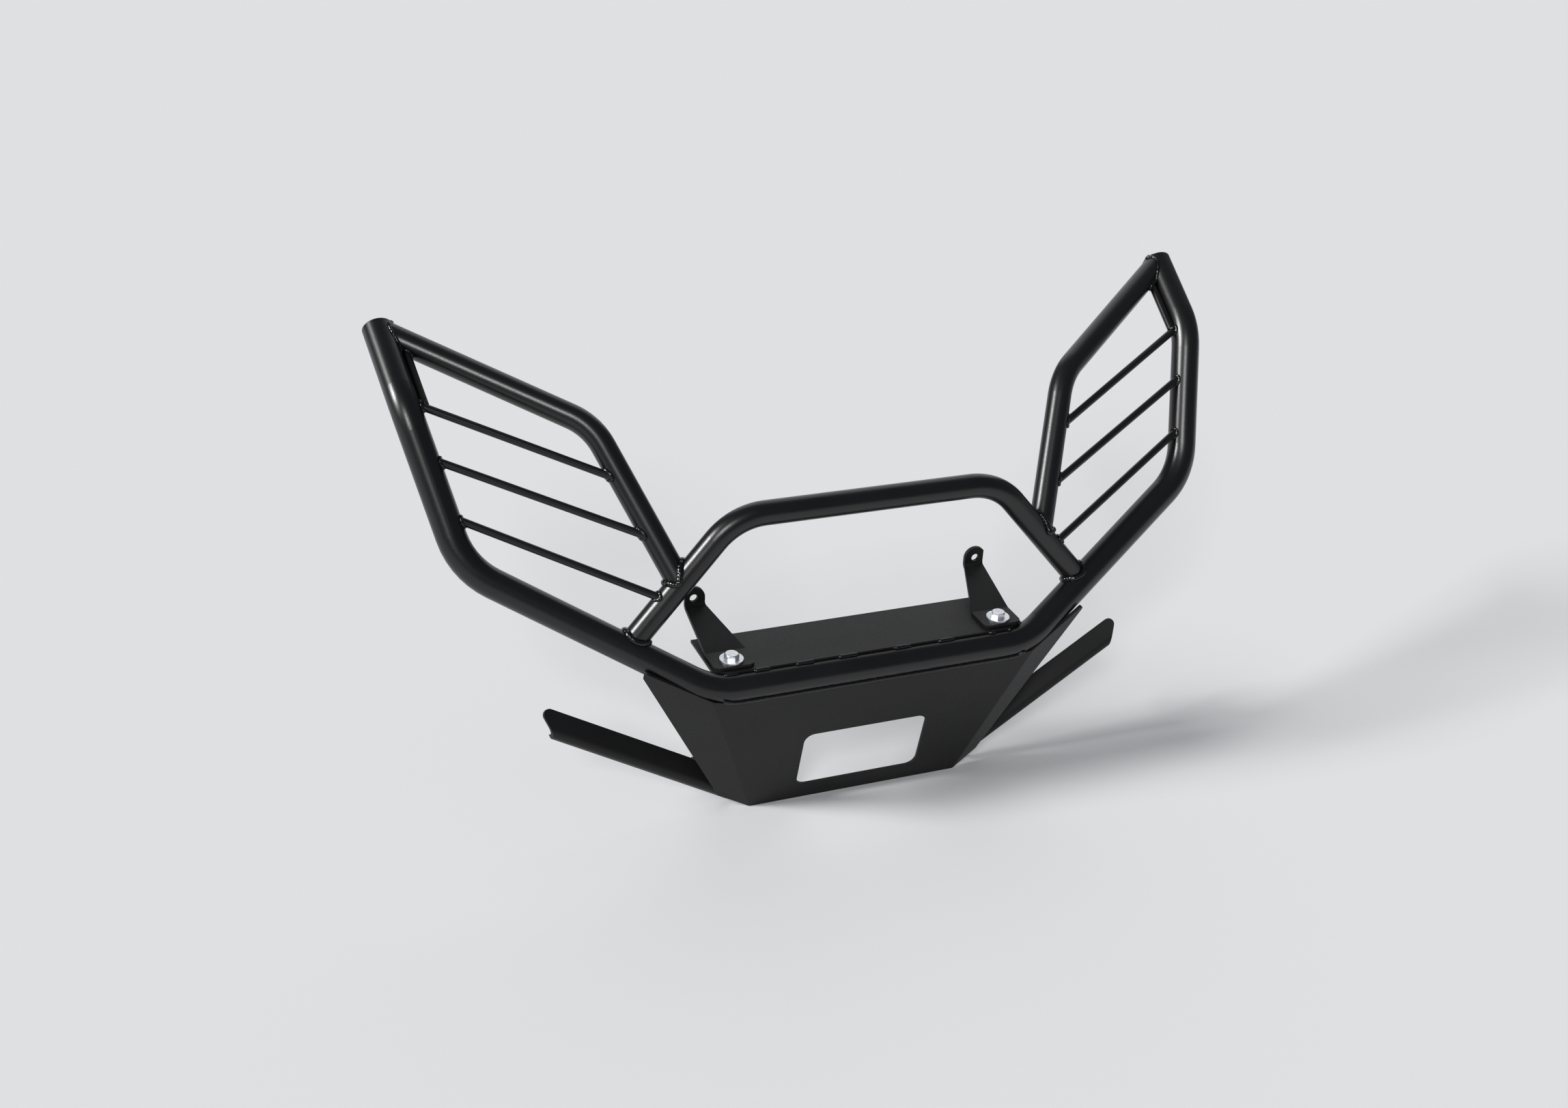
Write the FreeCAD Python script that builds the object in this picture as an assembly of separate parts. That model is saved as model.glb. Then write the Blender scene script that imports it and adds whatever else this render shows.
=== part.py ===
"""Front bumper of an all-terrain vehicle: bent tubes, guard rods, folded steel plates, bolted brackets.

Millimetres. +X is to the viewer's right, +Y back towards the vehicle, +Z up. The origin is midway
between the two bracket holes that take the vehicle's bolts, on the brackets' back faces.
Left is the viewer's left, -X. The right-hand pieces are built and the left-hand ones mirrored.
"""
import FreeCAD, Part
import math
import os

V = FreeCAD.Vector

# Tube and rod sections
MAIN_OD = 38.1
MAIN_WALL = 2.6
GUARD_OD = 31.8
GUARD_WALL = 2.1
ROD_D = 10.0

# Axis of the main tube, right half, from the middle of the front run to the top end
FRONT_HALF = 221.0
FRONT_Y = -132.0
FRONT_Z = -63.1
KNEE = V(507.5, -20.0, 96.0)
SHOULDER = V(549.5, 79.0, 270.5)
TOP_CORNER = V(558.5, 185.0, 331.0)
TOP_END_PAST_CORNER = 4.0
MAIN_BEND_R = 100.0

# Axis of the guard tube and of the centre hoop
GUARD_BEND = V(330.0, 34.0, 241.0)
GUARD_BEND_R = 85.0
HOOP_FOOT_OUTSIDE_RUN = 99.0
HOOP_FOOT_SETBACK = 5.0
HOOP_CORNER = V(181.0, -81.0, 151.0)
HOOP_BEND_R = 85.0
GUARD_FOOT_FRACTION = 0.49

# Guard rods: height of each end on the axis that it is welded to, and how far in front of it
ROD_OUTER_Z = (278.0, 220.0, 157.0)
ROD_INNER_Z = (184.0, 121.0, 52.0)
ROD_OUTER_FRONT = 4.0
ROD_INNER_FRONT = 8.0
CORNER_ROD_CLEARANCE = 0.2
CORNER_ROD_REACH = 16.0

# Domed end caps
CAP_HEIGHT = 7.0
CAP_WALL = 2.5

# Front plate: one folded sheet, its outer face PLATE_OFFSET in front of the tube's axis
SHEET = 4.0
PLATE_LEAN = 13.5
PLATE_OFFSET = 17.0
PLATE_BELOW_AXIS = 8.0
PLATE_BOTTOM_Z = -274.2
PLATE_BOTTOM_HALF = 150.6
PLATE_TOP_INSIDE_RUN = 14.0
FOLD_TOP_OUTSIDE_RUN = 5.0
FOLD_TOP_BELOW_AXIS = 3.0
FOLD_R = 3.0
WING_PLAN_ANGLE = 26.0
WING_TIP_OUTSIDE_RUN = 96.0
WING_TIP_ABOVE_AXIS = 41.1
WING_LOW_OUTSIDE_FOLD = 40.4
WING_LOW_ABOVE_BOTTOM = 17.2
WING_TIP_R = 6.0
WINDOW_W = 176.0
WINDOW_H = 95.0
WINDOW_FROM_BOTTOM = 24.5
WINDOW_R = 14.0

# Shelf behind the front run
SHELF_INSIDE_RUN = 2.0
SHELF_FRONT_INSIDE_RUN = 25.0
SHELF_CORNER = 9.0
SHELF_DEPTH = 92.0
SHELF_BITE = 0.8
SHELF_BEHIND_AXIS = 1.0

# Mounting brackets: a strap bent twice, from the drilled tab down to the foot on the shelf
STRAP = 5.0
TAB_HOLE_INSIDE_RUN = 17.0
TAB_HOLE_D = 11.0
TAB_TOP_R = 15.5
TAB_BELOW_HOLE = 12.0
STRAP_INSIDE_RUN = 5.0
FOOT_WIDTH = 54.0
FOOT_AHEAD_OF_BOLT = 17.0
FOOT_BEHIND_BOLT = 23.0
FOOT_CORNER_R = 8.0
STRAP_FOLD_R = 5.0

# Bolts through the bracket feet and the shelf
BOLT_D = 10.0
BOLT_HOLE_CLEARANCE = 1.0
NUT_BEHIND_TUBE = 1.1128
HEX_AF = 17.0
HEAD_H = 7.0
HEAD_TURN = {-1: -22.0, 1: 0.0}
NUT_H = 5.0
WASHER_D = 31.0
WASHER_T = 2.5
BOLT_PAST_NUT = 3.0

# Lower arms: an angle strip behind each wing
ARM_INNER_OUTSIDE_FOLD = 21.4
ARM_INNER_ABOVE_BOTTOM = 11.7
ARM_INNER_BEHIND_WING = 4.0808
ARM_RUN = V(233.0, 26.2, 123.5)
ARM_UP = V(-0.420, 0.610, 0.670)
ARM_WEB = 33.0
ARM_FLANGE = 15.0
ARM_FOLD_R = 6.0
ARM_END_SLANT = 36.0
ARM_END_R = 8.0

# Values that follow from the ones above
MAIN_R = MAIN_OD / 2
GUARD_R = GUARD_OD / 2
ROD_R = ROD_D / 2
FRONT_CORNER = V(FRONT_HALF, FRONT_Y, FRONT_Z)
CROWN_Z = FRONT_Z + MAIN_R
SHELF_TOP_Z = CROWN_Z - SHELF_BITE + SHEET
HOOP_FOOT_X = FRONT_HALF + HOOP_FOOT_OUTSIDE_RUN
PLATE_TOP_HALF = FRONT_HALF - PLATE_TOP_INSIDE_RUN
FOLD_TOP_X = FRONT_HALF + FOLD_TOP_OUTSIDE_RUN
SHELF_HALF = FRONT_HALF - SHELF_INSIDE_RUN
SHELF_FRONT_HALF = FRONT_HALF - SHELF_FRONT_INSIDE_RUN
TAB_HOLE_X = FRONT_HALF - TAB_HOLE_INSIDE_RUN
STRAP_OUTER_X = FRONT_HALF - STRAP_INSIDE_RUN
FOOT_INNER_X = STRAP_OUTER_X - FOOT_WIDTH
BOLT_HOLE_D = BOLT_D + BOLT_HOLE_CLEARANCE
NUT_FOOT_ABOVE_AXIS = MAIN_R - SHELF_BITE - NUT_H
TUBE_AT_NUT = math.sqrt(MAIN_R ** 2 - NUT_FOOT_ABOVE_AXIS ** 2)
BOLT_X = (STRAP_OUTER_X + FOOT_INNER_X) / 2
BOLT_Y = FRONT_Y + TUBE_AT_NUT + NUT_BEHIND_TUBE + HEX_AF / 2
STRAP_ACROSS = V(STRAP_OUTER_X - FOOT_INNER_X, 0, 0)
FOOT_TOP_Z = SHELF_TOP_Z + STRAP
HEAD_BASE_Z = FOOT_TOP_Z + WASHER_T
NUT_TOP_Z = SHELF_TOP_Z - SHEET


def mirrored(shape):
    """The same shape on the other side of the plane X = 0."""
    return shape.mirror(V(0, 0, 0), V(1, 0, 0))


def flip_x(point):
    return V(-point.x, point.y, point.z)


def unit(vector):
    result = V(vector)
    result.normalize()
    return result


def at_height(low, high, z):
    """Point on the line from low to high at the height z."""
    return low + (high - low) * ((z - low.z) / (high.z - low.z))


def bent_bar(points, bend_r, radius):
    """Round bar along straight runs joined by tangent arcs: cylinders and revolved discs."""
    pieces = []
    start = points[0]
    for before, corner, after in zip(points, points[1:], points[2:]):
        into = unit(corner - before)
        out = unit(after - corner)
        turn = into.getAngle(out)
        tangent = bend_r * math.tan(turn / 2)
        arc_start = corner - into * tangent
        pieces.append(Part.makeCylinder(radius, (arc_start - start).Length, start, into))
        normal = unit(into.cross(out))
        centre = arc_start + normal.cross(into) * bend_r
        disc = Part.Face(Part.Wire(Part.makeCircle(radius, arc_start, into)))
        pieces.append(disc.revolve(centre, normal, math.degrees(turn)))
        start = corner + out * tangent
    last = points[-1]
    pieces.append(Part.makeCylinder(radius, (last - start).Length, start, unit(last - start)))
    return pieces[0].multiFuse(pieces[1:]).removeSplitter()


def one_solid(shape):
    """The largest solid of a boolean's result, which is the piece itself."""
    return max(shape.Solids, key=lambda solid: solid.Volume)


# Axes that several pieces share

TOP_END = TOP_CORNER + unit(TOP_CORNER - SHOULDER) * TOP_END_PAST_CORNER
MAIN_RIGHT = [FRONT_CORNER, KNEE, SHOULDER, TOP_END]
MAIN_AXIS = [flip_x(point) for point in reversed(MAIN_RIGHT)] + MAIN_RIGHT

HOOP_FOOT_FRACTION = (HOOP_FOOT_X - FRONT_HALF) / (KNEE.x - FRONT_HALF)
HOOP_FOOT = FRONT_CORNER + (KNEE - FRONT_CORNER) * HOOP_FOOT_FRACTION + V(0, HOOP_FOOT_SETBACK, 0)
HOOP_AXIS = [flip_x(HOOP_FOOT), flip_x(HOOP_CORNER), HOOP_CORNER, HOOP_FOOT]

GUARD_FOOT = HOOP_FOOT + (HOOP_CORNER - HOOP_FOOT) * GUARD_FOOT_FRACTION
GUARD_AXIS = [TOP_CORNER, GUARD_BEND, GUARD_FOOT]


def dome_arc(inset):
    """Rim, middle and top of the cap's dome in a local XZ plane, inset from its outer face."""
    radius = MAIN_R - inset
    height = CAP_HEIGHT - inset
    sphere_r = (radius ** 2 + height ** 2) / (2 * height)
    half_turn = math.asin(radius / sphere_r) / 2
    middle = V(sphere_r * math.sin(half_turn), 0, height - sphere_r * (1 - math.cos(half_turn)))
    return V(radius, 0, 0), middle, V(0, 0, height)


def on_top_end(outline):
    """Turn a local outline about its axis and set the solid on the main tube's right top end."""
    solid = Part.Face(Part.Wire(outline)).revolve(V(0, 0, 0), V(0, 0, 1), 360)
    along = unit(TOP_END - SHOULDER)
    solid.Placement = FreeCAD.Placement(TOP_END, FreeCAD.Rotation(V(0, 0, 1), along))
    return solid


def full_cap():
    rim, middle, top = dome_arc(0)
    foot = V(0, 0, 0)
    dome = Part.Arc(rim, middle, top).toShape()
    return on_top_end([dome, Part.makeLine(top, foot), Part.makeLine(foot, rim)])


def main_envelope():
    """Main tube as a full bar with both domes: what is welded to its outside is cut back to this."""
    bar = bent_bar(MAIN_AXIS, MAIN_BEND_R, MAIN_R)
    return bar.multiFuse([full_cap(), mirrored(full_cap())])


def main_tube():
    bar = bent_bar(MAIN_AXIS, MAIN_BEND_R, MAIN_R)
    bore = bent_bar(MAIN_AXIS, MAIN_BEND_R, MAIN_R - MAIN_WALL)
    return one_solid(bar.cut(bore))


def end_cap():
    """Pressed dome that closes the tube's top end, its rim on the tube's end face."""
    rim, middle, top = dome_arc(0)
    inner_rim, inner_middle, inner_top = dome_arc(CAP_WALL)
    return on_top_end([
        Part.Arc(rim, middle, top).toShape(),
        Part.makeLine(top, inner_top),
        Part.Arc(inner_top, inner_middle, inner_rim).toShape(),
        Part.makeLine(inner_rim, rim),
    ])


def center_hoop(main_bar):
    bar = bent_bar(HOOP_AXIS, HOOP_BEND_R, GUARD_R)
    bore = bent_bar(HOOP_AXIS, HOOP_BEND_R, GUARD_R - GUARD_WALL)
    return one_solid(bar.cut(bore).cut(main_bar))


def guard_tube(main_bar, hoop_bar):
    """Headlight guard tube, its ends fish-mouthed onto the main tube and the hoop's leg."""
    bar = bent_bar(GUARD_AXIS, GUARD_BEND_R, GUARD_R)
    bore = bent_bar(GUARD_AXIS, GUARD_BEND_R, GUARD_R - GUARD_WALL)
    return one_solid(bar.cut(bore).cut(main_bar).cut(hoop_bar))


def rod_ends(index):
    """Where one guard rod's axis meets the tubes at its outer and inner end."""
    outer_z = ROD_OUTER_Z[index]
    inner_z = ROD_INNER_Z[index]
    upright = (SHOULDER, TOP_CORNER) if outer_z > SHOULDER.z else (KNEE, SHOULDER)
    inner = (GUARD_FOOT, GUARD_BEND) if inner_z > GUARD_FOOT.z else (HOOP_FOOT, HOOP_CORNER)
    outer_end = at_height(upright[0], upright[1], outer_z) + V(0, -ROD_OUTER_FRONT, 0)
    inner_end = at_height(inner[0], inner[1], inner_z) + V(0, -ROD_INNER_FRONT, 0)
    return outer_end, inner_end


def full_rod(index):
    outer_end, inner_end = rod_ends(index)
    span = inner_end - outer_end
    return Part.makeCylinder(ROD_R, span.Length, outer_end, unit(span))


def guard_rod(index, envelopes):
    rod = full_rod(index)
    for envelope in envelopes:
        rod = rod.cut(envelope)
    return one_solid(rod)


def corner_rod(envelopes):
    """Short rod beside the main tube's inner face, from the guard tube down to the upper guard rod."""
    along = unit(TOP_CORNER - SHOULDER)
    inward = unit(V(-1, 0, 0) - along * V(-1, 0, 0).dot(along))
    offset = inward * (MAIN_R + ROD_R + CORNER_ROD_CLEARANCE)
    low = rod_ends(0)[0] + V(0, ROD_OUTER_FRONT, 0) + offset - along * CORNER_ROD_REACH
    high = TOP_CORNER + offset
    rod = Part.makeCylinder(ROD_R, (high - low).Length, low, unit(high - low))
    for envelope in envelopes:
        rod = rod.cut(envelope)
    return one_solid(rod)


# Sheet metal

LEAN = math.radians(PLATE_LEAN)
PLAN = math.radians(WING_PLAN_ANGLE)
PLATE_UP = V(0, -math.sin(LEAN), math.cos(LEAN))
PLATE_OUT = V(0, -math.cos(LEAN), -math.sin(LEAN))
PLATE_AT_AXIS = V(0, FRONT_Y, FRONT_Z) + PLATE_OUT * PLATE_OFFSET
PLATE_BOTTOM = PLATE_AT_AXIS - PLATE_UP * ((PLATE_AT_AXIS.z - PLATE_BOTTOM_Z) / PLATE_UP.z)
PLATE_TOP = PLATE_AT_AXIS - PLATE_UP * PLATE_BELOW_AXIS
FOLD_LOW = PLATE_BOTTOM + V(PLATE_BOTTOM_HALF, 0, 0)
FOLD_TOP = PLATE_AT_AXIS - PLATE_UP * FOLD_TOP_BELOW_AXIS + V(FOLD_TOP_X, 0, 0)
WING_OUT = unit(V(math.cos(PLAN), math.sin(PLAN), 0).cross(FOLD_TOP - FOLD_LOW))


def panel(corners, outward, thickness):
    """Flat sheet whose outer face has these corners."""
    face = Part.Face(Part.makePolygon(corners + [corners[0]]))
    return face.extrude(outward * -thickness)


def edges_on_line(shape, point, direction):
    """Edges of the shape that lie on a line."""
    found = []
    for edge in shape.Edges:
        gaps = [(vertex.Point - point).cross(direction).Length for vertex in edge.Vertexes]
        if len(gaps) == 2 and max(gaps) < 0.01:
            found.append(edge)
    return found


def on_wing(x, z):
    """Point of the right wing's outer face at this X and Z."""
    rest = WING_OUT.x * (x - FOLD_LOW.x) + WING_OUT.z * (z - FOLD_LOW.z)
    return V(x, FOLD_LOW.y - rest / WING_OUT.y, z)


WING_TIP = on_wing(FRONT_HALF + WING_TIP_OUTSIDE_RUN, FRONT_Z + WING_TIP_ABOVE_AXIS)
WING_LOW = on_wing(PLATE_BOTTOM_HALF + WING_LOW_OUTSIDE_FOLD, PLATE_BOTTOM_Z + WING_LOW_ABOVE_BOTTOM)


def wing():
    """Right wing: from the fold out to its rounded tip below the rising tube."""
    sheet = panel([FOLD_LOW, WING_LOW, WING_TIP, FOLD_TOP], WING_OUT, SHEET)
    return sheet.makeFillet(WING_TIP_R, edges_on_line(sheet, WING_TIP, WING_OUT))


def window_cutter():
    """Rounded window for the winch line's fairlead, centred in the front face."""
    half_w = WINDOW_W / 2
    low = WINDOW_FROM_BOTTOM
    box = Part.makeBox(WINDOW_W, WINDOW_H, 6 * SHEET, V(-half_w, low, -3 * SHEET))
    upright = [edge for edge in box.Edges if abs(edge.tangentAt(edge.FirstParameter).z) > 0.9]
    cutter = box.makeFillet(WINDOW_R, upright)
    turn = FreeCAD.Rotation(V(1, 0, 0), 90 + PLATE_LEAN)
    cutter.Placement = FreeCAD.Placement(PLATE_BOTTOM, turn)
    return cutter


def front_plate(main_bar):
    top = PLATE_TOP + V(PLATE_TOP_HALF, 0, 0)
    right = [FOLD_LOW, FOLD_TOP, top]
    left = [flip_x(point) for point in reversed(right)]
    front = panel(right + left, PLATE_OUT, SHEET)
    plate = front.multiFuse([wing(), mirrored(wing())]).removeSplitter()
    line = unit(FOLD_TOP - FOLD_LOW)
    outer_edges = edges_on_line(plate, FOLD_LOW, line)
    outer_edges += edges_on_line(plate, flip_x(FOLD_LOW), flip_x(line))
    plate = plate.makeFillet(FOLD_R + SHEET, outer_edges)
    return one_solid(plate.cut(window_cutter()).cut(main_bar))


def shelf_plate(main_bar):
    """Flat plate laid on the crown of the front run and drilled for the bracket bolts."""
    front_y = FRONT_Y + SHELF_BEHIND_AXIS
    right = [
        V(SHELF_HALF, front_y + SHELF_DEPTH, SHELF_TOP_Z),
        V(SHELF_HALF, front_y + SHELF_CORNER, SHELF_TOP_Z),
        V(SHELF_FRONT_HALF, front_y, SHELF_TOP_Z),
    ]
    left = [flip_x(point) for point in reversed(right)]
    plate = panel(right + left, V(0, 0, 1), SHEET)
    for side in (-1, 1):
        base = V(side * BOLT_X, BOLT_Y, SHELF_TOP_Z - 2 * SHEET)
        plate = plate.cut(Part.makeCylinder(BOLT_HOLE_D / 2, 3 * SHEET, base))
    return one_solid(plate.cut(main_bar))


def strap_axis():
    """Middle line of the bracket strap at its inner edge: tab, slope and foot."""
    foot_z = SHELF_TOP_Z + STRAP / 2
    return [
        V(FOOT_INNER_X, -STRAP / 2, TAB_TOP_R),
        V(FOOT_INNER_X, -STRAP / 2, -TAB_BELOW_HOLE),
        V(FOOT_INNER_X, BOLT_Y + FOOT_BEHIND_BOLT, foot_z),
        V(FOOT_INNER_X, BOLT_Y - FOOT_AHEAD_OF_BOLT, foot_z),
    ]


def strap_panel(start, end):
    """Flat length of the strap between two points of its middle line."""
    side = unit(end - start).cross(V(1, 0, 0)) * (STRAP / 2)
    corners = [start + side, end + side, end - side, start - side]
    return Part.Face(Part.makePolygon(corners + [corners[0]])).extrude(STRAP_ACROSS)


def strap_solid():
    """Strap bent from flat bar: flat lengths joined by tangent arcs of constant thickness."""
    centre = strap_axis()
    mid_r = STRAP_FOLD_R + STRAP / 2
    pieces = []
    start = centre[0]
    for before, corner, after in zip(centre, centre[1:], centre[2:]):
        into = unit(corner - before)
        out = unit(after - corner)
        turn = into.getAngle(out)
        tangent = mid_r * math.tan(turn / 2)
        arc_start = corner - into * tangent
        pieces.append(strap_panel(start, arc_start))
        normal = unit(into.cross(out))
        pivot = arc_start + normal.cross(into) * mid_r
        side = into.cross(V(1, 0, 0)) * (STRAP / 2)
        section = [arc_start + side, arc_start - side]
        section += [arc_start - side + STRAP_ACROSS, arc_start + side + STRAP_ACROSS]
        face = Part.Face(Part.makePolygon(section + [section[0]]))
        pieces.append(face.revolve(pivot, normal, math.degrees(turn)))
        start = corner + out * tangent
    pieces.append(strap_panel(start, centre[-1]))
    return pieces[0].multiFuse(pieces[1:]).removeSplitter()


def strap_outline():
    """The strap's outline from above, as a tall prism that trims its two edges."""
    inner_top = TAB_HOLE_X - TAB_TOP_R
    outer_top = TAB_HOLE_X + TAB_TOP_R
    back_y = STRAP
    fold_y = BOLT_Y + FOOT_BEHIND_BOLT
    front_y = BOLT_Y - FOOT_AHEAD_OF_BOLT
    corners = [
        V(inner_top, back_y, 0), V(inner_top, -STRAP, 0), V(FOOT_INNER_X, fold_y, 0),
        V(FOOT_INNER_X, front_y, 0), V(STRAP_OUTER_X, front_y, 0), V(STRAP_OUTER_X, fold_y, 0),
        V(outer_top, -STRAP, 0), V(outer_top, back_y, 0),
    ]
    low = SHELF_TOP_Z - STRAP
    corners = [corner + V(0, 0, low) for corner in corners]
    prism = Part.Face(Part.makePolygon(corners + [corners[0]])).extrude(V(0, 0, TAB_TOP_R - low + STRAP))
    front = [edge for edge in prism.Edges
             if abs(edge.tangentAt(edge.FirstParameter).z) > 0.9 and edge.Vertexes[0].Y < front_y + 0.1]
    return prism.makeFillet(FOOT_CORNER_R, front)


def mount_bracket():
    """Drilled tab with a round top, slope down from it, and foot bolted on the shelf."""
    strap = strap_solid().common(strap_outline())
    tab_zone = Part.makeBox(4 * TAB_TOP_R, 4 * STRAP, 2 * TAB_TOP_R,
                            V(TAB_HOLE_X - 2 * TAB_TOP_R, -2 * STRAP, 0))
    round_top = Part.makeCylinder(TAB_TOP_R, 4 * STRAP, V(TAB_HOLE_X, -2 * STRAP, 0), V(0, 1, 0))
    strap = strap.cut(tab_zone.cut(round_top))
    hole = Part.makeCylinder(TAB_HOLE_D / 2, 4 * STRAP, V(TAB_HOLE_X, -2 * STRAP, 0), V(0, 1, 0))
    foot_hole = Part.makeCylinder(BOLT_HOLE_D / 2, 3 * STRAP, V(BOLT_X, BOLT_Y, SHELF_TOP_Z - STRAP))
    return one_solid(strap.cut(hole).cut(foot_hole))


ARM_LOW_INNER = on_wing(PLATE_BOTTOM_HALF + ARM_INNER_OUTSIDE_FOLD, PLATE_BOTTOM_Z + ARM_INNER_ABOVE_BOTTOM)
ARM_LOW_INNER += V(0, ARM_INNER_BEHIND_WING, 0)
ARM_LOW_OUTER = ARM_LOW_INNER + ARM_RUN


def lower_arm():
    """Angle strip: an upright web, a rounded lower fold and a flange turned back under it."""
    along = unit(ARM_LOW_OUTER - ARM_LOW_INNER)
    up = unit(ARM_UP - along * ARM_UP.dot(along))
    back = along.cross(up) * -1
    outer_r = ARM_FOLD_R + SHEET
    middle = 1 - math.sqrt(0.5)
    length = (ARM_LOW_OUTER - ARM_LOW_INNER).Length

    def at(rise, depth):
        return ARM_LOW_INNER + up * rise + back * depth

    outer_mid = at(outer_r * middle, outer_r * middle)
    inner_mid = at(SHEET + ARM_FOLD_R * middle, SHEET + ARM_FOLD_R * middle)
    outline = [
        Part.makeLine(at(ARM_WEB, 0), at(outer_r, 0)),
        Part.Arc(at(outer_r, 0), outer_mid, at(0, outer_r)).toShape(),
        Part.makeLine(at(0, outer_r), at(0, ARM_FLANGE)),
        Part.makeLine(at(0, ARM_FLANGE), at(SHEET, ARM_FLANGE)),
        Part.makeLine(at(SHEET, ARM_FLANGE), at(SHEET, outer_r)),
        Part.Arc(at(SHEET, outer_r), inner_mid, at(outer_r, SHEET)).toShape(),
        Part.makeLine(at(outer_r, SHEET), at(ARM_WEB, SHEET)),
        Part.makeLine(at(ARM_WEB, SHEET), at(ARM_WEB, 0)),
    ]
    strip = Part.Face(Part.Wire(outline)).extrude(along * (length + ARM_END_SLANT))
    low_end = ARM_LOW_OUTER - back
    top_end = low_end + up * ARM_WEB + along * ARM_END_SLANT
    spare = (top_end - low_end) * 0.2
    beyond = [low_end - spare, top_end + spare, top_end + spare + along * 60, low_end - spare + along * 80]
    waste = Part.Face(Part.makePolygon(beyond + [beyond[0]])).extrude(back * (ARM_FLANGE + 4))
    strip = one_solid(strip.cut(waste).cut(wing()))
    return strip.makeFillet(ARM_END_R, edges_on_line(strip, top_end, back))


def hexagon(across_flats, height, base, turn=0.0):
    """Hexagonal prism standing on base, two flats facing along Y before the turn in degrees."""
    circum = across_flats / math.sqrt(3)
    corners = []
    for index in range(7):
        angle = math.radians(60 * index + turn)
        corners.append(base + V(circum * math.cos(angle), circum * math.sin(angle), 0))
    return Part.Face(Part.makePolygon(corners)).extrude(V(0, 0, height))


def ring(outer_d, inner_d, height, base):
    return Part.makeCylinder(outer_d / 2, height, base).cut(Part.makeCylinder(inner_d / 2, height, base))


def shelf_bolt(side):
    """Hexagon bolt with a chamfered head, its shank through washer, foot, shelf and nut."""
    base = V(side * BOLT_X, BOLT_Y, HEAD_BASE_Z)
    chamfer = Part.makeCone(HEX_AF * 0.9, HEX_AF * 0.47, HEAD_H, base)
    head = hexagon(HEX_AF, HEAD_H, base, HEAD_TURN[side]).common(chamfer)
    length = HEAD_BASE_Z - NUT_TOP_Z + NUT_H + BOLT_PAST_NUT
    shank = Part.makeCylinder(BOLT_D / 2, length, base, V(0, 0, -1))
    return one_solid(head.fuse(shank).removeSplitter())


def shelf_nut(side):
    base = V(side * BOLT_X, BOLT_Y, NUT_TOP_Z - NUT_H)
    bore = Part.makeCylinder(BOLT_D / 2, NUT_H, base)
    return one_solid(hexagon(HEX_AF, NUT_H, base).cut(bore))


def bolt_washer(side):
    return ring(WASHER_D, BOLT_HOLE_D, WASHER_T, V(side * BOLT_X, BOLT_Y, FOOT_TOP_Z))


def both_sides(builder):
    return Part.makeCompound([builder(-1), builder(1)])


def build_parts():
    """Every node's shape by name."""
    main_bar = main_envelope()
    hoop_bar = bent_bar(HOOP_AXIS, HOOP_BEND_R, GUARD_R)
    guard_bar = bent_bar(GUARD_AXIS, GUARD_BEND_R, GUARD_R)
    pieces = {
        "main_tube": main_tube(),
        "center_hoop": center_hoop(main_bar),
        "front_plate": front_plate(main_bar),
        "shelf_plate": shelf_plate(main_bar),
        "shelf_bolts": both_sides(shelf_bolt),
        "bolt_washers": both_sides(bolt_washer),
        "shelf_nuts": both_sides(shelf_nut),
    }
    right = {
        "guard_tube": guard_tube(main_bar, hoop_bar),
        "end_cap": end_cap(),
        "corner_rod": corner_rod([main_bar, guard_bar, full_rod(0)]),
        "mount_bracket": mount_bracket(),
        "lower_arm": lower_arm(),
    }
    for index, name in enumerate(("upper_rod", "middle_rod", "lower_rod")):
        right[name] = guard_rod(index, [main_bar, guard_bar, hoop_bar])
    for name, shape in right.items():
        pieces["right_" + name] = shape
        pieces["left_" + name] = mirrored(shape)
    return pieces


os.makedirs("parts", exist_ok=True)
for node, shape in build_parts().items():
    print(node, shape.isValid(), len(shape.Solids), round(shape.Volume))
    shape.exportStep("parts/" + node + ".step")
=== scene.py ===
import math

import bpy
import numpy as np
from mathutils import Matrix, Vector


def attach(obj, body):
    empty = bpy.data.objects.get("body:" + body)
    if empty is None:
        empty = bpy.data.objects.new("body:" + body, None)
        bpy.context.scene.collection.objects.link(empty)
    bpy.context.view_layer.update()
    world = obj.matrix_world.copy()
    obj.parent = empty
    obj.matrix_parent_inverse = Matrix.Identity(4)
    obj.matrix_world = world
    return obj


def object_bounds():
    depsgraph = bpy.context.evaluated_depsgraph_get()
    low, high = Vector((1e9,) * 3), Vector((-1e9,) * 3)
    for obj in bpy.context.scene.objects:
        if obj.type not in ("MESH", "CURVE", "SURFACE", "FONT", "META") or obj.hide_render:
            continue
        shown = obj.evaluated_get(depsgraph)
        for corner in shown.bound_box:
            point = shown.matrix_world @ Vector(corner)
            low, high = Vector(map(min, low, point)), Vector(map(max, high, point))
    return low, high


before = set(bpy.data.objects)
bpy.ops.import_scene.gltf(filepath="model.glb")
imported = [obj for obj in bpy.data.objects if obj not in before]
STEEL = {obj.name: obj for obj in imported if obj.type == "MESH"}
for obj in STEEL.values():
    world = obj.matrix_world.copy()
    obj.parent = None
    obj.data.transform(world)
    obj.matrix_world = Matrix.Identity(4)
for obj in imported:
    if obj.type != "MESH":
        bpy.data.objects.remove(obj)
CAD_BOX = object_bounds()
BOLTED = ("shelf_bolts", "bolt_washers", "shelf_nuts")
X, Y, Z = 0, 1, 2


def millimetres(x, y, z):
    """A place or a step given in millimetres, in the frame's metres."""
    return np.array([x, y, z], dtype=float) / 1000


def unit(vectors):
    return vectors / np.linalg.norm(vectors, axis=-1, keepdims=True)


def on_run(low, high, axis, value):
    """Where the straight run from low to high has this X, Y or Z: low plus that share of the way."""
    return low + (high - low) * (value - low[axis]) / (high[axis] - low[axis])


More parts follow.
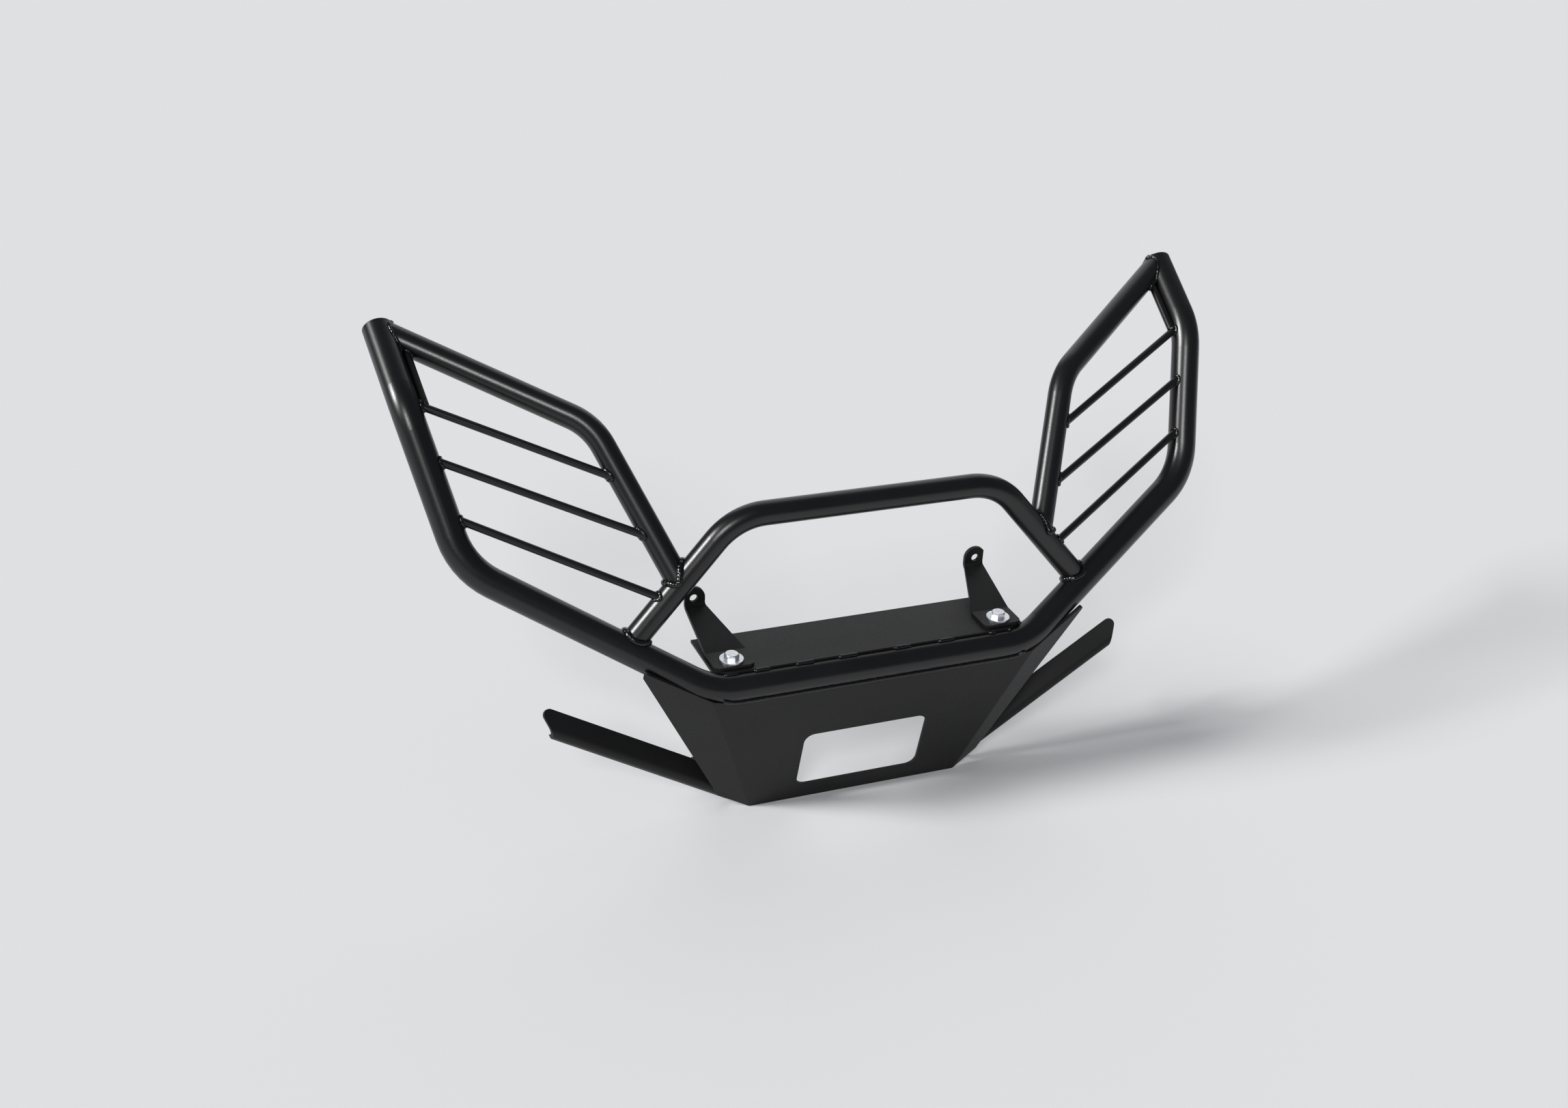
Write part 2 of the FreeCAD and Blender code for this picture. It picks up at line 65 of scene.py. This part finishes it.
def on_side(side, rows):
    """Places or directions of the right half, mirrored across X for the left one."""
    return rows * np.array([-1.0 if side == "left" else 1.0, 1.0, 1.0])


# The bumper's layout, in metres. The right half is given, and the left half mirrors it.

MAIN_R = 0.01905
GUARD_R = 0.0159
ROD_R = 0.005
FRONT_CORNER = millimetres(221, -132, -63.1)
KNEE = millimetres(507.5, -20, 96)
SHOULDER = millimetres(549.5, 79, 270.5)
TOP_CORNER = millimetres(558.5, 185, 331)
GUARD_BEND = millimetres(330, 34, 241)
HOOP_CORNER = millimetres(181, -81, 151)
HOOP_FOOT_X = 0.320
HOOP_FOOT_STEP = millimetres(0, 5, 0)
HOOP_FOOT = on_run(FRONT_CORNER, KNEE, X, HOOP_FOOT_X) + HOOP_FOOT_STEP
GUARD_FOOT_SHARE = 0.49
GUARD_FOOT = HOOP_FOOT + (HOOP_CORNER - HOOP_FOOT) * GUARD_FOOT_SHARE
ROD_OUTER_Z = (0.278, 0.220, 0.157)
ROD_INNER_Z = (0.184, 0.121, 0.052)
ROD_OUTER_STEP = millimetres(0, -4, 0)
ROD_INNER_STEP = millimetres(0, -8, 0)
CORNER_ROD_CLEARANCE = 0.0002

# The folded plate: its front leans, and each wing turns back from a slanted fold

SHEET = 0.004
PLATE_OFFSET = 0.017
PLATE_BOTTOM_Z = -0.2742
PLATE_BOTTOM_HALF = millimetres(150.6, 0, 0)
FOLD_TOP_HALF = millimetres(226, 0, 0)
FOLD_TOP_BELOW_AXIS = 0.003
LEAN = math.radians(13.5)
WING_PLAN = math.radians(26)
PLATE_UP = np.array([0, -math.sin(LEAN), math.cos(LEAN)])
PLATE_OUT = np.array([0, -math.cos(LEAN), -math.sin(LEAN)])
PLATE_AT_AXIS = FRONT_CORNER * np.array([0, 1, 1]) + PLATE_OUT * PLATE_OFFSET
PLATE_BOTTOM = on_run(PLATE_AT_AXIS, PLATE_AT_AXIS + PLATE_UP, Z, PLATE_BOTTOM_Z)
FOLD_LOW = PLATE_BOTTOM + PLATE_BOTTOM_HALF
FOLD_TOP = PLATE_AT_AXIS - PLATE_UP * FOLD_TOP_BELOW_AXIS + FOLD_TOP_HALF
WING_OUT = unit(np.cross([math.cos(WING_PLAN), math.sin(WING_PLAN), 0], FOLD_TOP - FOLD_LOW))
WING_LOW_XZ = (0.191, -0.257)
WING_TIP_XZ = (0.317, -0.022)

# The shelf on the tube's crown, its bolts, and the lower arms

SHELF_FRONT_Y = -0.131
SHELF_BITE = 0.0008
NUT_H = 0.005
BOLT_PAST_NUT = 0.003
CROWN_Z = FRONT_CORNER[Z] + MAIN_R
NUT_BOTTOM_Z = CROWN_Z - SHELF_BITE - NUT_H
BOLT_END_Z = NUT_BOTTOM_Z - BOLT_PAST_NUT
BOLT_AXIS = millimetres(189, -108.7, 0)
ARM_LOW_INNER = millimetres(172, -89.2, -262.5)
ARM_RUN = millimetres(233, 26.2, 123.5)
ARM_UP = np.array([-0.420, 0.610, 0.670])
ARM_WEB = 0.033

# The beads' places along the pieces that they join

PLATE_BEAD_REACH = 0.304
BACK_BEADS_X = (-0.26, -0.15, -0.05, 0.05, 0.15, 0.26)
BACK_BEAD_HALF = 0.014
SHELF_STITCHES_X = ((-0.207, -0.187), (-0.167, -0.143), (-0.111, -0.083), (-0.052, -0.023),
                    (0.026, 0.053), (0.090, 0.116), (0.164, 0.177), (0.192, 0.2))
STITCH_ABOVE_CROWN = 0.0006
UNDER_BEADS_X = (-0.14, -0.05, 0.05, 0.14)
UNDER_BEAD_HALF = 0.013
UNDER_SEAM = millimetres(0, -126.5, -44.9)
UNDER_SEAM_TUBE_OUT = np.array([0, 0.287, 0.958])
ARM_EDGE_SHARES = (0.02, 0.3)
ARM_TOP_BEAD_SPAN = (0.012, 0.072)
CORNER_FOOT_HALF = 0.004
GUARD_RAYS_FROM = 0.4
HOOP_RAYS_FROM = 0.3

# Each kind of bead: its width and the pitch of its ripples

ROD_OUTER_BEAD = (0.0046, 0.0034)
ROD_INNER_BEAD = (0.0050, 0.0036)
TUBE_FOOT_BEAD = (0.0086, 0.0042)
GUARD_TOP_BEAD = (0.0044, 0.0036)
CORNER_TOP_BEAD = (0.0048, 0.0032)
CORNER_FOOT_BEAD = (0.0062, 0.0032)
PLATE_BEAD = (0.0064, 0.0042)
PLATE_BACK_BEAD = (0.0058, 0.0040)
SHELF_BEAD = (0.0052, 0.0036)
SHELF_UNDER_BEAD = (0.0050, 0.0036)
ARM_EDGE_BEAD = (0.0058, 0.0036)
ARM_TOP_BEAD = (0.0056, 0.0036)


# Materials

def linear(hex_colour):
    """An sRGB hex colour as linear RGBA."""
    parts = np.array([int(hex_colour[i:i + 2], 16) for i in (1, 3, 5)]) / 255
    low = parts / 12.92
    high = ((parts + 0.055) / 1.055) ** 2.4
    return (*np.where(parts <= 0.04045, low, high), 1.0)


def grey(value):
    return (value, value, value, 1.0)


def cells_per_metre(size_mm):
    """Scale of a pattern whose cells are this many millimetres across."""
    return 1000 / size_mm


def add_node(tree, kind, settings, links=()):
    """One shader node: settings by property or socket name, links as (input, output socket) pairs."""
    node = tree.nodes.new(kind)
    for name, value in settings.items():
        if name in node.inputs:
            node.inputs[name].default_value = value
        else:
            setattr(node, name, value)
    for name, source in links:
        tree.links.new(source, node.inputs[name])
    return node


def new_material(name):
    material = bpy.data.materials.new(name)
    material.use_nodes = True
    material.node_tree.nodes.clear()
    return material, material.node_tree


def ramp(tree, pattern, low, high):
    """Two colours or greys mixed by the middle of a pattern's range."""
    node = add_node(tree, "ShaderNodeValToRGB", {}, [("Fac", pattern)])
    first, last = node.color_ramp.elements
    first.position, first.color = 0.35, low
    last.position, last.color = 0.65, high
    return node.outputs["Color"]


def powder_coat(name, glossiest, dullest, ripple, shine):
    """Polyester powder coat, sprayed dry and baked: a black film with a fine orange peel of ripples
    about 1.2 mm across, which take its roughness from glossiest to dullest, and a drift of its tone
    over 70 mm. It flows out glossier over a weld bead than on a tube, and is dullest on sheet."""
    material, tree = new_material(name)
    place = add_node(tree, "ShaderNodeTexCoord", {}).outputs["Object"]
    drift = add_node(tree, "ShaderNodeTexNoise", {"Scale": cells_per_metre(71.4), "Detail": 3.0},
                     [("Vector", place)])
    peel = add_node(tree, "ShaderNodeTexNoise", {"Scale": cells_per_metre(1.176), "Detail": 0.0},
                    [("Vector", place)])
    colour = ramp(tree, drift.outputs["Fac"], linear("#050506"), linear("#0a0a0b"))
    sheen = ramp(tree, peel.outputs["Fac"], grey(glossiest), grey(dullest))
    edge = add_node(tree, "ShaderNodeBevel", {"samples": 4, "Radius": 0.0008})
    bump = add_node(tree, "ShaderNodeBump", {"Strength": ripple, "Distance": 0.0003},
                    [("Height", peel.outputs["Fac"]), ("Normal", edge.outputs["Normal"])])
    shader = add_node(tree, "ShaderNodeBsdfPrincipled", {"IOR": 1.5, "Specular IOR Level": shine},
                      [("Base Color", colour), ("Roughness", sheen), ("Normal", bump.outputs["Normal"])])
    add_node(tree, "ShaderNodeOutputMaterial", {}, [("Surface", shader.outputs["BSDF"])])
    return material


def zinc_plate():
    """Bright zinc plated on cold-headed steel: a pale bluish metal with faint clouding from the
    plating bath, and marks from forging and the wrench, drawn 1.1 mm across so that they show."""
    material, tree = new_material("bright_zinc_plated_steel")
    place = add_node(tree, "ShaderNodeTexCoord", {}).outputs["Object"]
    cloud = add_node(tree, "ShaderNodeTexNoise", {"Scale": cells_per_metre(6.25), "Detail": 4.0},
                     [("Vector", place)])
    marks = add_node(tree, "ShaderNodeTexNoise", {"Scale": cells_per_metre(1.111), "Detail": 3.0},
                     [("Vector", place)])
    colour = ramp(tree, cloud.outputs["Fac"], linear("#d3d6db"), linear("#f1f2f4"))
    rough = ramp(tree, marks.outputs["Fac"], grey(0.30), grey(0.46))
    edge = add_node(tree, "ShaderNodeBevel", {"samples": 4, "Radius": 0.0006})
    bump = add_node(tree, "ShaderNodeBump", {"Strength": 0.25, "Distance": 0.0002},
                    [("Height", marks.outputs["Fac"]), ("Normal", edge.outputs["Normal"])])
    shader = add_node(tree, "ShaderNodeBsdfPrincipled", {"Metallic": 1.0},
                      [("Base Color", colour), ("Roughness", rough), ("Normal", bump.outputs["Normal"])])
    add_node(tree, "ShaderNodeOutputMaterial", {}, [("Surface", shader.outputs["BSDF"])])
    return material


def studio_floor():
    """Matt painted board: an even pale surface."""
    material, tree = new_material("matt_painted_board")
    shader = add_node(tree, "ShaderNodeBsdfPrincipled",
                      {"Base Color": linear("#dcdcdd"), "Roughness": 0.9, "Specular IOR Level": 0.1})
    add_node(tree, "ShaderNodeOutputMaterial", {}, [("Surface", shader.outputs["BSDF"])])
    return material


TUBE_COAT = powder_coat("black_powder_coat_baked_on_tube",
                        glossiest=0.28, dullest=0.33, ripple=0.10, shine=0.55)
SHEET_COAT = powder_coat("black_powder_coat_baked_on_sheet",
                         glossiest=0.50, dullest=0.58, ripple=0.14, shine=0.40)
BEAD_COAT = powder_coat("black_powder_coat_baked_on_weld",
                        glossiest=0.15, dullest=0.22, ripple=0.06, shine=0.50)
ZINC = zinc_plate()
for name, node in STEEL.items():
    if name in BOLTED:
        finish = ZINC
    elif name.endswith(("plate", "bracket", "arm")):
        finish = SHEET_COAT
    else:
        finish = TUBE_COAT
    for face_set in node.material_slots:
        face_set.material = finish


# Seams that the weld beads follow

def struck(names, starts, aims, reach=1.0):
    """Where the rays from starts along aims first meet the named CAD nodes: points, outward
    normals, and which rays met none."""
    points = np.full(starts.shape, np.nan)
    faces = np.full(starts.shape, np.nan)
    for row, (start, aim) in enumerate(zip(starts, aims)):
        nearest = reach
        for name in names:
            met, point, normal, _ = STEEL[name].ray_cast(Vector(start), Vector(aim), distance=nearest)
            if met:
                nearest = (point - Vector(start)).length
                points[row] = point
                faces[row] = normal
    return points, faces, np.isnan(points[:, 0])


def smooth(rows, closed, times=3):
    """Each row averaged with its neighbours, to take out the facets that the rays met."""
    for _ in range(times):
        if closed:
            rows = (np.roll(rows, 1, 0) + 2 * rows + np.roll(rows, -1, 0)) / 4
        else:
            inner = (rows[:-2] + 2 * rows[1:-1] + rows[2:]) / 4
            rows = np.concatenate([rows[:1], inner, rows[-1:]])
    return rows


def round_seam(names, start, aim, radius, end):
    """Seam where a round bar ends on other pieces: rays along the bar's surface, evenly round it.
    Rays that miss end on the plane through the point end, square to the bar."""
    not_along_any_bar, rays = [0.3, 0.2, 1.0], 120
    aim = unit(aim)
    side = unit(np.cross(aim, not_along_any_bar))
    turn = np.linspace(0, 2 * np.pi, rays, endpoint=False)[:, None]
    out = np.cos(turn) * side + np.sin(turn) * np.cross(aim, side)
    starts = start + radius * out
    points, faces, missed = struck(names, starts, np.broadcast_to(aim, starts.shape))
    if missed.any():
        depth = ((end - start) @ aim) * np.ones(missed.sum())
        points[missed] = starts[missed] + depth[:, None] * aim
        faces[missed] = out[missed]
    return smooth(points, True), out, unit(smooth(faces, True))


def on_wing(x, z):
    """Points of the right wing's outer face at these X and Z."""
    rest = WING_OUT[X] * (x - FOLD_LOW[X]) + WING_OUT[Z] * (z - FOLD_LOW[Z])
    return np.stack([x, FOLD_LOW[Y] - rest / WING_OUT[Y], z], axis=1)


def plate_seam(low_x, high_x, outside):
    """Seam of the folded plate along the main tube's underside: rays up the sheet's outer or inner
    face, between two values of X, from below the tube until they meet it."""
    below_axis, wing_start_z, rays_per_metre, passes = 0.05, -0.13, 700, 12
    x = np.linspace(low_x, high_x, max(24, int((high_x - low_x) * rays_per_metre)))
    flat = PLATE_AT_AXIS - below_axis * PLATE_UP + np.stack([x, 0 * x, 0 * x], axis=1)
    wing = on_wing(np.abs(x), np.full(x.shape, wing_start_z))
    wing[:, X] = x
    on_flat = (np.abs(x) < FOLD_TOP[X])[:, None]
    wing_out = np.stack([np.sign(x) * WING_OUT[X], 0 * x + WING_OUT[Y], 0 * x + WING_OUT[Z]], axis=1)
    out = np.where(on_flat, PLATE_OUT, wing_out)
    up = unit(np.array([0, 0, 1.0]) - out * out[:, Z:])
    starts = np.where(on_flat, flat, wing) - (0 if outside else SHEET) * out
    points, faces, missed = struck(["main_tube"], starts, up)
    met = ~missed
    sides = out[met] * (1 if outside else -1)
    return [smooth(rows, False, passes) for rows in (points[met], sides, faces[met])]


# Weld beads

# A bead's mesh, then its shape as shares: the lag of the pitch, the next three of the radius, the
# last three of the width, and the smallest end of the taper
ROWS_PER_RIPPLE = 7
SECTION_POINTS = 14
TOE_LAG = 0.24
VALLEY = 0.92
RIPPLE_RISE = 0.08
UNEVEN_HEIGHT = 0.13
END_TAPER = 0.7
STANDS_OUT = 0.1
WANDER = 0.05
SMALLEST_END = 0.03


def bead_surface(name, points, sides, faces, size, closed=False):
    """Weld bead carried along a seam. Its section is a circle between the two surfaces. The radius
    follows one rounded ripple per pitch, each a little taller or lower and further left or right
    than the last, and its crest lags at the toes, so that each ripple is a crescent. An open bead
    shrinks to a rounded end."""
    width, pitch = size
    ring = np.concatenate([points, points[:1]]) if closed else points
    travelled = np.concatenate([[0], np.cumsum(np.linalg.norm(np.diff(ring, axis=0), axis=1))])
    length = travelled[-1]
    ripples = max(2, round(length / pitch))
    stations = ripples * ROWS_PER_RIPPLE + (0 if closed else 1)
    at = np.linspace(0, length, stations, endpoint=not closed)

    def even(rows):
        rows = np.concatenate([rows, rows[:1]]) if closed else rows
        return np.stack([np.interp(at, travelled, rows[:, axis]) for axis in (X, Y, Z)], axis=1)

    centre, lean = even(points), unit(even(unit(sides)) + even(unit(faces)))
    if closed:
        along = unit(np.roll(centre, -1, 0) - np.roll(centre, 1, 0))
    else:
        along = unit(np.gradient(centre, axis=0))
    across = unit(np.cross(along, lean))
    lean = np.cross(across, along)
    turn = np.linspace(0, 2 * np.pi, SECTION_POINTS, endpoint=False)[None, :]
    phase = at[:, None] * ripples / length
    crest = np.abs(np.cos(np.pi * (phase - TOE_LAG * (1 - np.cos(turn)))))
    chance = np.random.default_rng(sum(ord(letter) for letter in name))
    draws = chance.uniform(-1, 1, (2, ripples))
    middles = np.arange(ripples) + 0.5
    height, shift = [np.interp(phase[:, 0], middles, row, period=ripples)[:, None] for row in draws]
    radius = width / 2 * (VALLEY + RIPPLE_RISE * crest + UNEVEN_HEIGHT * height)
    if not closed:
        from_end = np.minimum(at, length - at)[:, None] / (END_TAPER * width)
        radius = radius * np.sqrt(np.clip(from_end, SMALLEST_END, 1))
    centre = centre + (lean * STANDS_OUT + across * WANDER * shift) * width
    spread = np.cos(turn)[..., None] * lean[:, None] + np.sin(turn)[..., None] * across[:, None]
    grid = centre[:, None] + radius[..., None] * spread
    return grid_piece(name, grid, closed, BEAD_COAT)


def grid_piece(name, grid, closed, finish):
    """Mesh of a grid of points whose rows are closed rings: a tube, joined end to end if closed
    and capped by its first and last rings if not."""
    rows, columns = grid.shape[:2]
    index = np.arange(rows * columns).reshape(rows, columns)
    after = np.roll(index, -1, 0) if closed else index[1:]
    here = index if closed else index[:-1]
    quads = np.stack([here, np.roll(here, -1, 1), np.roll(after, -1, 1), after], axis=-1).reshape(-1, 4)
    faces = quads.tolist()
    if not closed:
        faces += [index[0].tolist()[::-1], index[-1].tolist()]
    mesh = bpy.data.meshes.new(name)
    mesh.from_pydata(grid.reshape(-1, 3).tolist(), [], faces)
    mesh.shade_smooth()
    mesh.materials.append(finish)
    piece = bpy.data.objects.new(name, mesh)
    bpy.context.scene.collection.objects.link(piece)
    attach(piece, "root")
    return piece


def straight_bead(name, start, end, side, face, size):
    """Bead on the straight line between two points, in the corner of two flat faces."""
    share = np.linspace(0, 1, 24)[:, None]
    points = start * (1 - share) + end * share
    sides, faces = [np.broadcast_to(row, points.shape) for row in (side, face)]
    return bead_surface(name, points, sides, faces, size)


def round_bead(side, name, names, start, end, radius, size):
    """Bead round the end of a bar whose axis runs from start to end, on the named nodes."""
    start, end = on_side(side, start), on_side(side, end)
    seam = round_seam(names, start, end - start, radius, end)
    return bead_surface(side + "_" + name, *seam, size, closed=True)


def rod_ends(index):
    """Where one right guard rod's axis meets the tubes at its outer and inner end."""
    outer_z, inner_z = ROD_OUTER_Z[index], ROD_INNER_Z[index]
    upright = (SHOULDER, TOP_CORNER) if outer_z > SHOULDER[Z] else (KNEE, SHOULDER)
    inner = (GUARD_FOOT, GUARD_BEND) if inner_z > GUARD_FOOT[Z] else (HOOP_FOOT, HOOP_CORNER)
    return on_run(*upright, Z, outer_z) + ROD_OUTER_STEP, on_run(*inner, Z, inner_z) + ROD_INNER_STEP


def rod_beads(side):
    """The beads round both ends of the three guard rods."""
    inner_names = [side + "_guard_tube", "center_hoop"]
    for index, name in enumerate(("upper_rod", "middle_rod", "lower_rod")):
        outer, inner = rod_ends(index)
        middle = (outer + inner) / 2
        round_bead(side, name + "_outer_bead", ["main_tube"], middle, outer, ROD_R, ROD_OUTER_BEAD)
        round_bead(side, name + "_inner_bead", inner_names, middle, inner, ROD_R, ROD_INNER_BEAD)


def tube_beads(side):
    """The beads round both ends of the guard tube and round the hoop's foot. The rays start part of
    the way up each leg."""
    low_leg = GUARD_FOOT + (GUARD_BEND - GUARD_FOOT) * GUARD_RAYS_FROM
    high_leg = TOP_CORNER + (GUARD_BEND - TOP_CORNER) * GUARD_RAYS_FROM
    hoop_leg = HOOP_FOOT + (HOOP_CORNER - HOOP_FOOT) * HOOP_RAYS_FROM
    top_names = ["main_tube", side + "_end_cap"]
    round_bead(side, "guard_foot_bead", ["center_hoop"], low_leg, GUARD_FOOT, GUARD_R, TUBE_FOOT_BEAD)
    round_bead(side, "guard_top_bead", top_names, high_leg, TOP_CORNER, GUARD_R, GUARD_TOP_BEAD)
    round_bead(side, "hoop_foot_bead", ["main_tube"], hoop_leg, HOOP_FOOT, GUARD_R, TUBE_FOOT_BEAD)


def corner_rod_beads(side):
    """The bead round the corner rod's top, and the short straight one where it crosses the upper
    guard rod."""
    along = unit(TOP_CORNER - SHOULDER)
    inward = unit(np.array([-1.0, 0, 0]) + along * along[X])
    beside = inward * (MAIN_R + ROD_R + CORNER_ROD_CLEARANCE)
    outer, inner = rod_ends(0)
    foot = outer - ROD_OUTER_STEP + beside
    top = TOP_CORNER + beside
    round_bead(side, "corner_rod_top_bead", [side + "_guard_tube"], (foot + top) / 2, top,
               ROD_R, CORNER_TOP_BEAD)
    down = unit(inner - outer)
    crest = np.cross(along, inward)
    corner = outer + down * (MAIN_R + ROD_R) / (down @ inward) + unit(crest + along) * ROD_R
    start, end = corner - down * CORNER_FOOT_HALF, corner + down * CORNER_FOOT_HALF
    straight_bead(side + "_corner_rod_foot_bead", on_side(side, start), on_side(side, end),
                  on_side(side, crest), on_side(side, along), CORNER_FOOT_BEAD)


def arm_beads(side):
    """The beads that hold one lower arm: along the wing's edge on the arm's face, and along the
    arm's upper edge on the wing's inner face. Rays shot just outside the wing's edge, from in front
    of it, find the arm's face."""
    outside_edge, in_front, ray_length = 0.0008, 0.01, 0.03
    share = np.linspace(*ARM_EDGE_SHARES, 90)
    edge = on_wing(*[low + (high - low) * share for low, high in zip(WING_LOW_XZ, WING_TIP_XZ)])
    beyond = unit(np.cross(edge[-1] - edge[0], WING_OUT))
    beyond = beyond * np.sign(beyond[X])
    starts = on_side(side, edge + beyond * outside_edge + WING_OUT * in_front)
    aims = np.broadcast_to(on_side(side, -WING_OUT), starts.shape)
    points, faces, missed = struck([side + "_lower_arm"], starts, aims, ray_length)
    met = ~missed
    sides = np.broadcast_to(on_side(side, beyond), points.shape)[met]
    bead_surface(side + "_arm_edge_bead", smooth(points[met], False), sides, faces[met], ARM_EDGE_BEAD)
    along = unit(ARM_RUN)
    up = unit(ARM_UP - along * (along @ ARM_UP))
    start, end = [ARM_LOW_INNER + up * ARM_WEB + along * reach for reach in ARM_TOP_BEAD_SPAN]
    straight_bead(side + "_arm_top_bead", on_side(side, start), on_side(side, end),
                  on_side(side, up), on_side(side, -WING_OUT), ARM_TOP_BEAD)


def seam_beads():
    """The long bead under the front run, the short ones behind the plate, the stitches on the shelf
    and the beads under it."""
    bead_surface("front_plate_bead", *plate_seam(-PLATE_BEAD_REACH, PLATE_BEAD_REACH, True), PLATE_BEAD)
    for number, middle in enumerate(BACK_BEADS_X, 1):
        seam = plate_seam(middle - BACK_BEAD_HALF, middle + BACK_BEAD_HALF, False)
        bead_surface(f"plate_back_bead_{number}", *seam, PLATE_BACK_BEAD)
    ahead, above = np.array([0, -1.0, 0]), np.array([0, 0, 1.0])
    for number, ends in enumerate(SHELF_STITCHES_X, 1):
        start, end = [np.array([x, SHELF_FRONT_Y, CROWN_Z + STITCH_ABOVE_CROWN]) for x in ends]
        straight_bead(f"shelf_bead_{number}", start, end, ahead, above, SHELF_BEAD)
    reach = np.array([UNDER_BEAD_HALF, 0, 0])
    for number, x in enumerate(UNDER_BEADS_X, 1):
        middle = UNDER_SEAM + np.array([x, 0, 0])
        straight_bead(f"shelf_under_bead_{number}", middle - reach, middle + reach,
                      -above, UNDER_SEAM_TUBE_OUT, SHELF_UNDER_BEAD)


# Bolt threads

THREAD_PITCH = 0.0015
THREAD_ROOT_R = 0.00492
THREAD_RISE = 0.00045
THREAD_RUN_OUT = 0.0009


def bolt_threads(side):
    """Rolled thread on a bolt's end, from just above the end to just inside the nut: a cylinder whose
    radius rises and falls once a pitch, carried one pitch along by each turn. It fades at the bolt's
    end, and both ends are flat."""
    axis = on_side(side, BOLT_AXIS)
    turn = np.linspace(0, 2 * np.pi, 48, endpoint=False)[None, :]
    z = np.linspace(BOLT_END_Z + 0.0001, NUT_BOTTOM_Z + 0.0004, 28)[:, None]
    rise = np.abs(((z / THREAD_PITCH + turn / (2 * np.pi)) % 1.0) * 2 - 1)
    fade = np.clip((z - BOLT_END_Z) / THREAD_RUN_OUT, 0.15, 1)
    radius = THREAD_ROOT_R + THREAD_RISE * rise * fade
    x, y = axis[X] + radius * np.cos(turn), axis[Y] + radius * np.sin(turn)
    grid = np.stack([x, y, z + 0 * turn], axis=-1)
    return grid_piece(side + "_bolt_threads", grid, False, ZINC)


for hand in ("left", "right"):
    rod_beads(hand)
    tube_beads(hand)
    corner_rod_beads(hand)
    arm_beads(hand)
    bolt_threads(hand)
seam_beads()


# Camera, light and floor

CAMERA_PLACE = (-0.9406, -2.0077, 1.1722)
CAMERA_TURN, CAMERA_TILT, CAMERA_ROLL = [math.radians(angle) for angle in (23.236, 27.310, 3.253)]


def look():
    """Camera at the photograph's place, in front and to the left: turned to its right, tilted down
    and rolled a little."""
    lens = bpy.data.cameras.new("camera")
    lens.sensor_width = 36.0
    lens.sensor_fit = "HORIZONTAL"
    lens.lens = 43.14
    lens.clip_end = 100.0
    camera = bpy.data.objects.new("camera", lens)
    turned = Matrix.Rotation(-CAMERA_TURN, 4, "Z")
    tilted = Matrix.Rotation(math.pi / 2 - CAMERA_TILT, 4, "X")
    rolled = Matrix.Rotation(CAMERA_ROLL, 4, "Z")
    camera.matrix_world = Matrix.Translation(CAMERA_PLACE) @ turned @ tilted @ rolled
    bpy.context.scene.collection.objects.link(camera)
    bpy.context.scene.camera = camera


def soft_sun(name, direction, strength, spread):
    """Distant soft lamp that shines from a direction, as wide as the angle spread in degrees."""
    lamp = bpy.data.lights.new(name, "SUN")
    lamp.energy = strength
    lamp.angle = math.radians(spread)
    holder = bpy.data.objects.new(name, lamp)
    holder.rotation_mode = "QUATERNION"
    holder.rotation_quaternion = Vector(direction).to_track_quat("Z", "Y")
    bpy.context.scene.collection.objects.link(holder)


def studio():
    """A wide pale floor under the bumper's lowest point, a faint even sky and three soft lamps."""
    floor_z, reach = CAD_BOX[0][Z], 15.0
    mesh = bpy.data.meshes.new("floor")
    corners = [(x * reach, y * reach, floor_z) for x, y in ((-1, -1), (1, -1), (1, 1), (-1, 1))]
    mesh.from_pydata(corners, [], [(0, 1, 2, 3)])
    mesh.materials.append(studio_floor())
    floor = bpy.data.objects.new("floor", mesh)
    bpy.context.scene.collection.objects.link(floor)
    world = bpy.data.worlds.new("studio")
    world.use_nodes = True
    tree = world.node_tree
    tree.nodes.clear()
    sky = add_node(tree, "ShaderNodeBackground", {"Color": linear("#e6edf7"), "Strength": 0.18})
    add_node(tree, "ShaderNodeOutputWorld", {}, [("Surface", sky.outputs["Background"])])
    bpy.context.scene.world = world
    soft_sun("key", (-0.845, 0.080, 0.529), strength=3.4, spread=16.0)
    soft_sun("front", (-0.45, -0.66, 0.60), strength=1.2, spread=16.0)
    soft_sun("back", (0.38, 0.80, 0.47), strength=0.6, spread=60.0)


look()
studio()
bpy.context.scene.view_settings.view_transform = "Standard"
